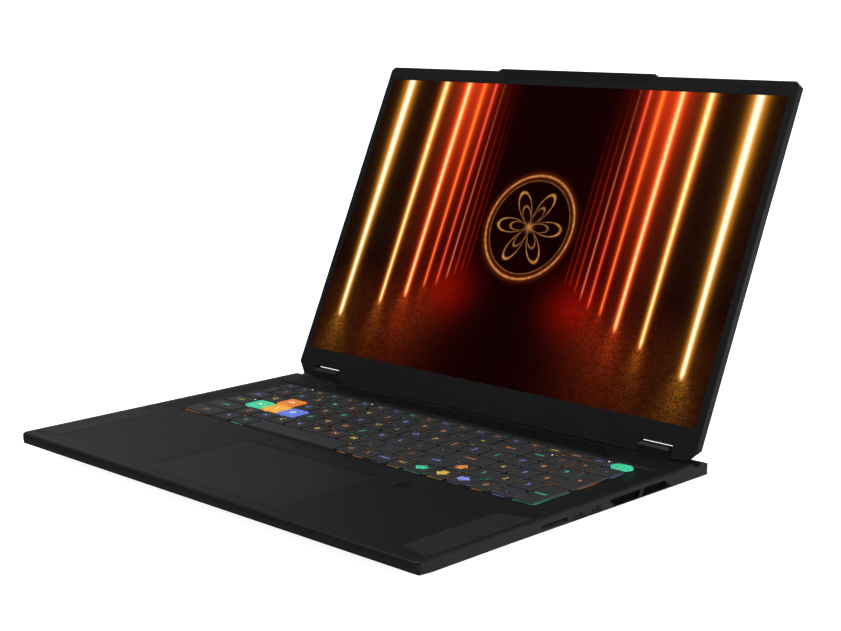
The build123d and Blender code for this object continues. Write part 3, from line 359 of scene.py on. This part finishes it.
def picture_material():
    """Upright beams of warm light in a dark hall, their blurred mirror image, and a gold rosette."""
    material, tree, shader = new_material("screen_picture")
    x, y, z = coordinates(tree)
    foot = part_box("display_surface")[0]
    across = x.magnitude()
    up = (y - foot.y / MM) * LID_UP.y + (z - foot.z / MM) * LID_UP.z
    share = up / PICTURE_HEIGHT
    speckle = noise(tree, 1100.0, 4.0, roughness=0.75).step(0.38, 0.72)
    ripple = noise(tree, 150.0, 3.0, stretch=(1, 1, 2.2)).step(0.3, 0.8)
    shimmer = speckle * 1.1 + ripple * 0.25
    totals = [Value(tree, 0.0) * 1.0 for _ in range(3)]

    def add(amount, colour):
        for i, part in enumerate(colour):
            if part > 0:
                totals[i] = totals[i] + amount * part

    wall = up.step(FLOOR_LINE - 40, FLOOR_LINE + 20)
    floor = up.step(FLOOR_LINE, FLOOR_LINE - 45)
    add(Value(tree, 0.0065) * 1.0, (1.0, 0.0, 0.04))
    add(across.bell(98.0, 19.0) * wall * (share.power(3.0) * 0.50 + 0.025), (1.0, 0.06, 0.012))
    add(across.bell(70.0, 15.0) * wall * 0.028, (1.0, 0.02, 0.0))
    add(across.bell(122.0, 14.0) * wall * 0.020, (1.0, 0.13, 0.03))
    add(across.step(100.0, 140.0) * wall, (0.006, 0.0032, 0.0010))
    add(across.bell(64.0, 24.0) * up.bell(68.0, 20.0) * (shimmer * 0.4 + 0.6), (0.20, 0.002, 0.0))
    add(across.bell(100.0, 34.0) * up.bell(44.0, 30.0) * (shimmer * 0.8 + 0.2), (0.085, 0.009, 0.0016))
    add(across.bell(110.0, 46.0) * floor * (shimmer * 0.8 + 0.25), (0.040, 0.0062, 0.0014))
    add(across.bell(172.0, 26.0) * floor * (shimmer * 0.8 + 0.25), (0.050, 0.0155, 0.0026))

    for place, foot_width, top_width, foot_height, core, glow, fade in BEAMS:
        climb = up.step(foot_height, PICTURE_HEIGHT + 10)
        width = climb * (top_width - foot_width) + foot_width
        offset = across - place
        lit = up.step(foot_height - 4, foot_height + 4) * (climb * -fade + 1.0)
        add((offset / (width * CORE_SHARE)).bell(0.0, 1.0) * lit, core)
        add((offset / width).bell(0.0, 1.0) * lit, glow)
        add((offset / (width * 2.3)).bell(0.0, 1.0) * lit * 0.04, glow)
        below = (up * -1.0 + foot_height) / MIRROR_FALL
        mirror = up.step(foot_height + 3, foot_height - 3) * (below.highest(0.0) * -1.0).exponential()
        spread = below.highest(0.0) * MIRROR_SPREAD + 1.0
        smear = (offset / (spread * foot_width * 1.8)).bell(0.0, 1.0) * mirror * shimmer
        add(smear * 0.55, glow)

    high = up - EMBLEM_HEIGHT
    radius = (x * x + high * high).root()
    petal = (high.angle_from(x) * ROSETTE_PETALS).cosine().magnitude() * ROSETTE_RADIUS
    ornament = noise(tree, 260.0, 2.0).step(0.3, 0.7) * 0.5 + 0.5
    ring = radius.bell(EMBLEM_RADIUS, 0.8) + radius.bell(EMBLEM_RADIUS - 4.0, 0.4) * 0.4
    rosette = (radius - petal).bell(0.0, 1.1) + radius.bell(0.0, 3.0)
    inner = (radius - petal * 0.6).bell(0.0, 0.9) * 0.6
    add((ring + rosette + inner) * ornament, (0.70, 0.29, 0.07))
    add(radius.bell(EMBLEM_RADIUS, 3.0), (0.09, 0.012, 0.002))

    colour = tree.nodes.new("ShaderNodeCombineColor")
    for socket, total in zip(colour.inputs, totals):
        tree.links.new(total.clamped().source, socket)
    tree.links.new(colour.outputs[0], shader.inputs["Emission Color"])
    shader.inputs["Emission Strength"].default_value = 1.0
    shader.inputs["Base Color"].default_value = (0.0005, 0.0005, 0.0005, 1)
    shader.inputs["Roughness"].default_value = 0.5
    shader.inputs["Specular IOR Level"].default_value = 0.0
    return material


# ---- materials for the CAD nodes --------------------------------------------------------------
def make_materials():
    metal = dict(metallic=0.0, roughness=0.42, grain=3200.0, grain_strength=0.2)
    return {
        "case_metal": finish_material("case_metal", (0.0056, 0.0058, 0.0060), specular=0.34, **metal),
        "grille_metal": finish_material("grille_metal", (0.02, 0.02, 0.0205), specular=0.5, **metal),
        # cover_metal: the cover's own dark finish, made darker than the case as painted shade, so the underside
        # stays dark against the floor's bounce light
        "cover_metal": finish_material("cover_metal", (0.004, 0.004, 0.0042), specular=0.15, **metal),
        "lid_metal": finish_material("lid_metal", (0.0070, 0.0072, 0.0075), specular=0.2, **metal),
        "dark_plastic": finish_material(
            "dark_plastic", (0.0058, 0.0058, 0.0060), roughness=0.6, specular=0.14
        ),
        "key_plastic": finish_material("key_plastic", (0.034, 0.034, 0.035), roughness=0.5, specular=0.22),
        "key_orange": lit_material("key_orange", (0.90, 0.23, 0.03), 0.75),
        "key_green": lit_material("key_green", (0.05, 0.68, 0.36), 0.75),
        "key_yellow": lit_material("key_yellow", (0.92, 0.42, 0.04), 0.8),
        "key_blue": lit_material("key_blue", (0.14, 0.22, 0.80), 0.75),
        "power_green": lit_material("power_green", (0.05, 0.62, 0.33), 0.75),
        "glass_black": finish_material(
            "glass_black", (0.004, 0.004, 0.0045), roughness=0.18, specular=0.4, grain_strength=0.02
        ),
        "screen": picture_material(),
        "panel_metal": finish_material("panel_metal", (0.05, 0.05, 0.052), metallic=0.6),
        "rubber": finish_material(
            "rubber", (0.008, 0.008, 0.008), roughness=0.8, grain=1500.0, specular=0.15
        ),
        "board_green": finish_material("board_green", (0.006, 0.03, 0.014), roughness=0.4),
        "copper": finish_material("copper", (0.42, 0.16, 0.07), metallic=0.9, roughness=0.35),
        "fin_metal": finish_material("fin_metal", (0.14, 0.14, 0.145), metallic=0.9, roughness=0.35),
        "steel": finish_material("steel", (0.30, 0.30, 0.31), metallic=0.9, roughness=0.35),
        "dark_steel": finish_material("dark_steel", (0.01, 0.01, 0.0105), metallic=0.2, roughness=0.45),
        "battery_black": finish_material("battery_black", (0.012, 0.012, 0.012), roughness=0.5),
        "port_steel": finish_material("port_steel", (0.06, 0.06, 0.062), metallic=0.7, roughness=0.35),
        "light_guide": finish_material("light_guide", (0.02, 0.02, 0.02), roughness=0.4),
        "membrane": finish_material("membrane", (0.006, 0.006, 0.006), roughness=0.5),
        "touch_surface": finish_material(
            "touch_surface", (0.0095, 0.0097, 0.0100), roughness=0.36, grain_strength=0.08, specular=0.4
        ),
        "speaker_plastic": finish_material("speaker_plastic", (0.004, 0.004, 0.004), roughness=0.6),
    }


def dress_cad_nodes(materials):
    for part in frame["record"]["subparts"]:
        mesh = NODES[part["node"]].data
        mesh.materials.clear()
        mesh.materials.append(materials[part["material_slot"]])


# ---- mesh pieces ---------------------------------------------------------------------------------
class Shape:
    """Faces gathered for one piece, in metres."""

    def __init__(self):
        self.verts = []
        self.faces = []

    def add(self, verts, faces):
        first = len(self.verts)
        self.verts.extend(tuple(v) for v in verts)
        self.faces.extend(tuple(first + i for i in face) for face in faces)

    def prism(self, outline, low, high):
        """An upright prism over a plan outline of (x, y) points."""
        count = len(outline)
        verts = [(x, y, low) for x, y in outline] + [(x, y, high) for x, y in outline]
        sides = [(i, (i + 1) % count, (i + 1) % count + count, i + count) for i in range(count)]
        self.add(verts, sides + [tuple(range(count, 2 * count)), tuple(reversed(range(count)))])

    def piece(self, name, material, body, slot):
        mesh = bpy.data.meshes.new(name)
        mesh.from_pydata(self.verts, [], self.faces)
        mesh.validate()
        mesh.materials.append(material)
        item = bpy.data.objects.new(name, mesh)
        bpy.context.scene.collection.objects.link(item)
        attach(item, body)
        return item


# ---- keys ----------------------------------------------------------------------------------------
KEY_NODES = (
    "modifier_keys", "space_bar", "arrow_left_key", "arrow_down_key", "arrow_right_key",
    "arrow_up_key", "numpad_keys", "letter_keys", "number_keys", "function_keys",
    "key_w", "key_a", "key_s", "key_d",
)
BODIES = frame["record"]["behaviour"]["bodies"]
BODY_OF = {node: body for body, nodes in BODIES.items() for node in nodes}
COLOUR_NAMES = {"o": "orange", "g": "green", "y": "yellow", "b": "blue"}
# each key is its legend and the letter of its colour; rows run from the front, left to right
KEY_ROWS = (
    "ctrl:o fn:b alt:g _:n alt:o \\:o menu:b ctrl:y LEFT:g DOWN:y RIGHT:b 0:o .:b",
    "shift:g Z:o X:b C:y V:b B:y N:o M:y ,:o .:g /:o shift:b UP:o 1:g 2:y 3:b",
    "caps:y A:w S:w D:w F:g G:y H:o J:g K:b L:b ;:o ':b enter:o 4:y 5:b 6:o",
    "tab:b Q:y W:w E:b R:o T:g Y:b U:y I:o O:b P:y [:o ]:b |:g 7:b 8:o 9:g",
    "`:o 1:o 2:b 3:o 4:g 5:o 6:y 7:o 8:b 9:o 0:o -:b =:y back:o num:g /:o *:o -:b",
    "esc:b F1:o F2:y F3:g F4:o F5:b F6:o F7:b F8:g F9:o F10:b F11:o F12:b prt:o ins:b del:o"
    " pgup:y pgdn:o end:b",
)
TALL_KEYS = "enter:g +:o"
LETTER_HEIGHT = 4.9 * MM
WORD_HEIGHT = 3.3 * MM
SMALL_HEIGHT = 2.7 * MM
ARROW_SIZE = 11.0 * MM
LEGEND_LIFT = 0.015 * MM
LEGEND_THICKNESS = 0.03 * MM
LINE_WIDTH = 0.7 * MM
HOLE_EDGE = 0.4 * MM
LINE_LIFT = 0.01 * MM
LINE_TOP = 0.06 * MM
FRAME_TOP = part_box("keyboard_frame")[1].z
TALL_DEPTH = 25 * MM
ROW_STEP = 5 * MM
SHORT_DEPTH = 13 * MM


def find_caps():
    """Every key cap, as its node and the box of its loose part, from the key nodes' meshes."""
    caps = []
    for node in KEY_NODES:
        work = bmesh.new()
        work.from_mesh(NODES[node].data)
        bmesh.ops.remove_doubles(work, verts=work.verts, dist=1e-6)
        unseen = set(work.verts)
        while unseen:
            stack = [unseen.pop()]
            group = list(stack)
            while stack:
                for edge in stack.pop().link_edges:
                    for vert in edge.verts:
                        if vert in unseen:
                            unseen.discard(vert)
                            stack.append(vert)
                            group.append(vert)
            low = Vector(min(v.co[i] for v in group) for i in range(3))
            high = Vector(max(v.co[i] for v in group) for i in range(3))
            caps.append((node, low, high))
        work.free()
    return caps


def lay_out_keys():
    """Match the caps to their legends; returns (node, low, high, legend, colour) for each."""
    caps = find_caps()
    tall = sorted((c for c in caps if c[2].y - c[1].y > TALL_DEPTH), key=lambda c: c[1].y)
    rest = sorted((c for c in caps if c[2].y - c[1].y <= TALL_DEPTH), key=lambda c: c[1].y)
    rows = []
    for cap in rest:
        if not rows or cap[1].y - rows[-1][0][1].y > ROW_STEP:
            rows.append([])
        rows[-1].append(cap)
    named = list(zip(tall, TALL_KEYS.split()))
    for row, words in zip(rows, KEY_ROWS):
        row.sort(key=lambda c: c[1].x)
        words = words.split()
        assert len(row) == len(words), (len(row), words)
        named += zip(row, words)
    return [(*cap, *word.rsplit(":", 1)) for cap, word in named]


def text_faces(words, height):
    """The verts and faces of a word, centred, lying flat."""
    curve = bpy.data.curves.new("legend", "FONT")
    curve.body = words
    curve.size = height / 0.72
    curve.align_x = "CENTER"
    curve.align_y = "CENTER"
    curve.resolution_u = 2
    curve.offset = height * 0.012
    holder = bpy.data.objects.new("legend", curve)
    mesh = bpy.data.meshes.new_from_object(holder)
    verts = [v.co.copy() for v in mesh.vertices]
    faces = [tuple(p.vertices) for p in mesh.polygons]
    bpy.data.objects.remove(holder)
    bpy.data.curves.remove(curve)
    bpy.data.meshes.remove(mesh)
    return verts, faces


def arrow_outline(turn):
    """A broad block arrow, pointing up and then turned."""
    points = (
        (-0.5, -0.05), (0, 0.5), (0.5, -0.05), (0.27, -0.05),
        (0.27, -0.42), (-0.27, -0.42), (-0.27, -0.05),
    )
    spin = Matrix.Rotation(turn, 2)
    return [spin @ (Vector(p) * ARROW_SIZE) for p in points]


ARROW_TURNS = {"UP": 0.0, "LEFT": math.pi / 2, "DOWN": math.pi, "RIGHT": -math.pi / 2}


def make_legends(keys, glows):
    """The lit legends, one piece for each body and colour."""
    shapes = {}
    for node, low, high, legend, colour in keys:
        if legend == "_":
            continue
        shape = shapes.setdefault((node, colour), Shape())
        middle = (low + high) / 2
        level = high.z + LEGEND_LIFT
        if legend in ARROW_TURNS:
            outline = [(middle.x + p.x, middle.y + p.y) for p in arrow_outline(ARROW_TURNS[legend])]
            shape.prism(outline, level, level + LEGEND_THICKNESS)
            continue
        height = LETTER_HEIGHT if len(legend) == 1 else WORD_HEIGHT
        if high.y - low.y < SHORT_DEPTH:
            height = SMALL_HEIGHT
        verts, faces = text_faces(legend, height)
        shape.add([(middle.x + v.x, middle.y + v.y, level + LEGEND_THICKNESS) for v in verts], faces)
    for (node, colour), shape in shapes.items():
        word = COLOUR_NAMES.get(colour, "pale")
        slot = "key_" + COLOUR_NAMES.get(colour, "yellow")
        shape.piece(f"legends_{node}_{word}", glows[colour], BODY_OF[node], slot)


def make_light_lines(keys, glows):
    """Light that leaks out on the frame along the front and right edges of each cap."""
    shapes = {}
    for index, (_, low, high, _, colour) in enumerate(keys):
        if colour not in COLOUR_NAMES:
            continue
        shape = shapes.setdefault(colour, Shape())
        width = high.x - low.x
        depth = high.y - low.y
        start = (index * 37 % 23) / 23 * 0.25
        end = 1 - (index * 53 % 29) / 29 * 0.3
        front = low.y - HOLE_EDGE
        side = high.x + HOLE_EDGE
        for x0, x1, y0, y1 in (
            (low.x + width * start, low.x + width * end, front - LINE_WIDTH, front),
            (side, side + LINE_WIDTH, low.y + depth * start, low.y + depth * end),
        ):
            outline = ((x0, y0), (x1, y0), (x1, y1), (x0, y1))
            shape.prism(outline, FRAME_TOP + LINE_LIFT, FRAME_TOP + LINE_TOP)
    for colour, shape in shapes.items():
        word = COLOUR_NAMES[colour]
        shape.piece(f"key_light_{word}", glows["line_" + colour], "base", "key_" + word)


LED_KEYS = ("caps", "num", "F1", "F5", "end")
LED_RADIUS = 0.55 * MM
LED_SIDES = 12
LED_INSET = 2.2 * MM
LED_HEIGHT = 0.12 * MM


def make_indicators(keys, material):
    """Small white lights near the back right corner of some caps."""
    shapes = {}
    turns = [i * 2 * math.pi / LED_SIDES for i in range(LED_SIDES)]
    ring = [(LED_RADIUS * math.cos(turn), LED_RADIUS * math.sin(turn)) for turn in turns]
    for node, _, high, legend, _ in keys:
        if legend in LED_KEYS:
            shape = shapes.setdefault(node, Shape())
            outline = [(high.x - LED_INSET + x, high.y - LED_INSET + y) for x, y in ring]
            shape.prism(outline, high.z, high.z + LED_HEIGHT)
    for node, shape in shapes.items():
        shape.piece(f"indicators_{node}", material, BODY_OF[node], "key_blue")


# ---- perforated sheets ---------------------------------------------------------------------------
HOLE_SIDES = 8


def perforated(shape, columns, rows, pitch_x, pitch_y, hole, place, keep):
    """A sheet of square cells with a round hole each; place maps plan to space, keep picks cells."""
    turns = [(i + 0.5) * 2 * math.pi / HOLE_SIDES for i in range(HOLE_SIDES)]
    ring = [(math.cos(turn), math.sin(turn)) for turn in turns]
    for row in range(rows):
        for column in range(columns):
            x = (column - (columns - 1) / 2 + (0.25 if row % 2 else -0.25)) * pitch_x
            y = (row - (rows - 1) / 2) * pitch_y
            if not keep(x, y):
                continue
            half_x, half_y = pitch_x / 2, pitch_y / 2
            inner = [(x + hole * c, y + hole * s) for c, s in ring]
            outer = []
            for c, s in ring:
                reach = max(abs(c), abs(s))
                outer.append((x + half_x * c / reach, y + half_y * s / reach))
            verts = [place(*p) for p in inner + outer]
            n = HOLE_SIDES
            faces = [(i, (i + 1) % n, (i + 1) % n + n, i + n) for i in range(n)]
            corners = [(x + half_x * a, y + half_y * b) for a, b in ((1, 1), (-1, 1), (-1, -1), (1, -1))]
            verts += [place(*p) for p in corners]
            for i in range(4):
                faces.append((n + 2 * i, n + 2 * i + 1, 2 * n + i))
            shape.add(verts, faces)


def inside(outline, x, y, margin):
    """Whether a point is inside a convex outline, given anticlockwise, by more than a margin."""
    for i, (ax, ay) in enumerate(outline):
        bx, by = outline[(i + 1) % len(outline)]
        length = math.hypot(bx - ax, by - ay)
        if ((bx - ax) * (y - ay) - (by - ay) * (x - ax)) / length < margin:
            return False
    return True


GRILLE_PITCH = 1.12 * MM
GRILLE_HOLE = 0.36 * MM
GRILLE_INNER_X = 173.0 * MM
GRILLE_OUTER_X = 196.4 * MM
GRILLE_OUTLINE = (
    (15.2, GRILLE_INNER_X),
    (10.1, GRILLE_OUTER_X),
    (104.1, GRILLE_OUTER_X),
    (96.5, GRILLE_INNER_X),
)
GRILLE_MIDDLE = 56.5 * MM
GRILLE_COLUMNS = 26
GRILLE_ROWS = 100
GRILLE_RIM = 0.7 * MM
GRILLE_SKIN = 0.35 * MM


def make_speaker_grilles(material):
    """The two speaker grilles: a thin rim and a sheet pierced with fine round holes."""
    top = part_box("speaker_grilles")[1].z
    for sign, word in ((-1, "left"), (1, "right")):
        outline = [(sign * x, FRONT_Y + y * MM) for y, x in GRILLE_OUTLINE]
        if sign < 0:
            outline.reverse()
        centre = Vector((sign * (GRILLE_INNER_X + GRILLE_OUTER_X) / 2, FRONT_Y + GRILLE_MIDDLE))
        shape = Shape()

        def place(x, y):
            return (centre.x + x, centre.y + y, top)

        def keep(x, y):
            return inside(outline, centre.x + x, centre.y + y, GRILLE_RIM)

        perforated(
            shape, GRILLE_COLUMNS, GRILLE_ROWS, GRILLE_PITCH, GRILLE_PITCH * 0.87,
            GRILLE_HOLE, place, keep,
        )
        middle = sum((Vector(p) for p in outline), Vector((0, 0))) / 4
        inner = []
        for x, y in outline:
            step_x = math.copysign(GRILLE_RIM * 1.5, middle.x - x)
            step_y = math.copysign(GRILLE_RIM * 1.5, middle.y - y)
            inner.append((x + step_x, y + step_y))
        ring = [(x, y, top) for x, y in outline] + [(x, y, top) for x, y in inner]
        shape.add(ring, [(i, (i + 1) % 4, (i + 1) % 4 + 4, i + 4) for i in range(4)])
        grille = shape.piece(f"speaker_grille_{word}", material, "base", "case_metal")
        skin = grille.modifiers.new("skin", "SOLIDIFY")
        skin.thickness = GRILLE_SKIN
        skin.offset = -1.0
        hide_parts("speaker_grilles")


VENT_MESH_INSET = 2.6 * MM
VENT_MESH_MIDDLE = 208 * MM
VENT_MESH_DEPTH = 6.3 * MM
VENT_MESH_SKIN = 0.2 * MM


def make_vent_meshes(material):
    """A fine mesh behind the windows of each side vent."""
    low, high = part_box("top_case")
    for sign, word in ((-1, "left"), (1, "right")):
        face = (high.x if sign > 0 else -low.x) - VENT_MESH_INSET
        middle_y = FRONT_Y + VENT_MESH_MIDDLE
        middle_z = DECK_Z - VENT_MESH_DEPTH

        def place(x, y):
            return (sign * face, middle_y + x, middle_z + y)

        shape = Shape()
        perforated(shape, 50, 6, 1.3 * MM, 1.1 * MM, 0.42 * MM, place, lambda x, y: True)
        mesh = shape.piece(f"vent_mesh_{word}", material, "base", "dark_steel")
        skin = mesh.modifiers.new("skin", "SOLIDIFY")
        skin.thickness = VENT_MESH_SKIN


make_camera()
make_stage()
make_lights()
materials = make_materials()
dress_cad_nodes(materials)
NODES["display_surface"].visible_diffuse = False
NODES["display_surface"].visible_glossy = False

keys = lay_out_keys()
glows = {
    "o": lit_material("legend_orange", (0.72, 0.24, 0.05), 0.75, flicker=0.35),
    "g": lit_material("legend_green", (0.06, 0.62, 0.35), 0.75, flicker=0.35),
    "y": lit_material("legend_yellow", (0.72, 0.46, 0.06), 0.75, flicker=0.35),
    "b": lit_material("legend_blue", (0.22, 0.28, 0.80), 0.75, flicker=0.35),
    "w": lit_material("legend_pale", (0.95, 0.85, 0.62), 1.0, flicker=0.2),
    "line_o": lit_material("line_orange", (0.72, 0.22, 0.03), 0.42, flicker=0.9, scale=90.0),
    "line_g": lit_material("line_green", (0.04, 0.60, 0.32), 0.42, flicker=0.9, scale=90.0),
    "line_y": lit_material("line_yellow", (0.70, 0.38, 0.03), 0.42, flicker=0.9, scale=90.0),
    "line_b": lit_material("line_blue", (0.16, 0.22, 0.75), 0.42, flicker=0.9, scale=90.0),
}
make_legends(keys, glows)
make_light_lines(keys, glows)
make_indicators(keys, lit_material("indicator_white", (1.0, 0.98, 0.95), 1.4, flicker=0.05))
make_speaker_grilles(materials["grille_metal"])
make_vent_meshes(finish_material("vent_black", (0.0012, 0.0012, 0.0012), roughness=0.7, specular=0.05))
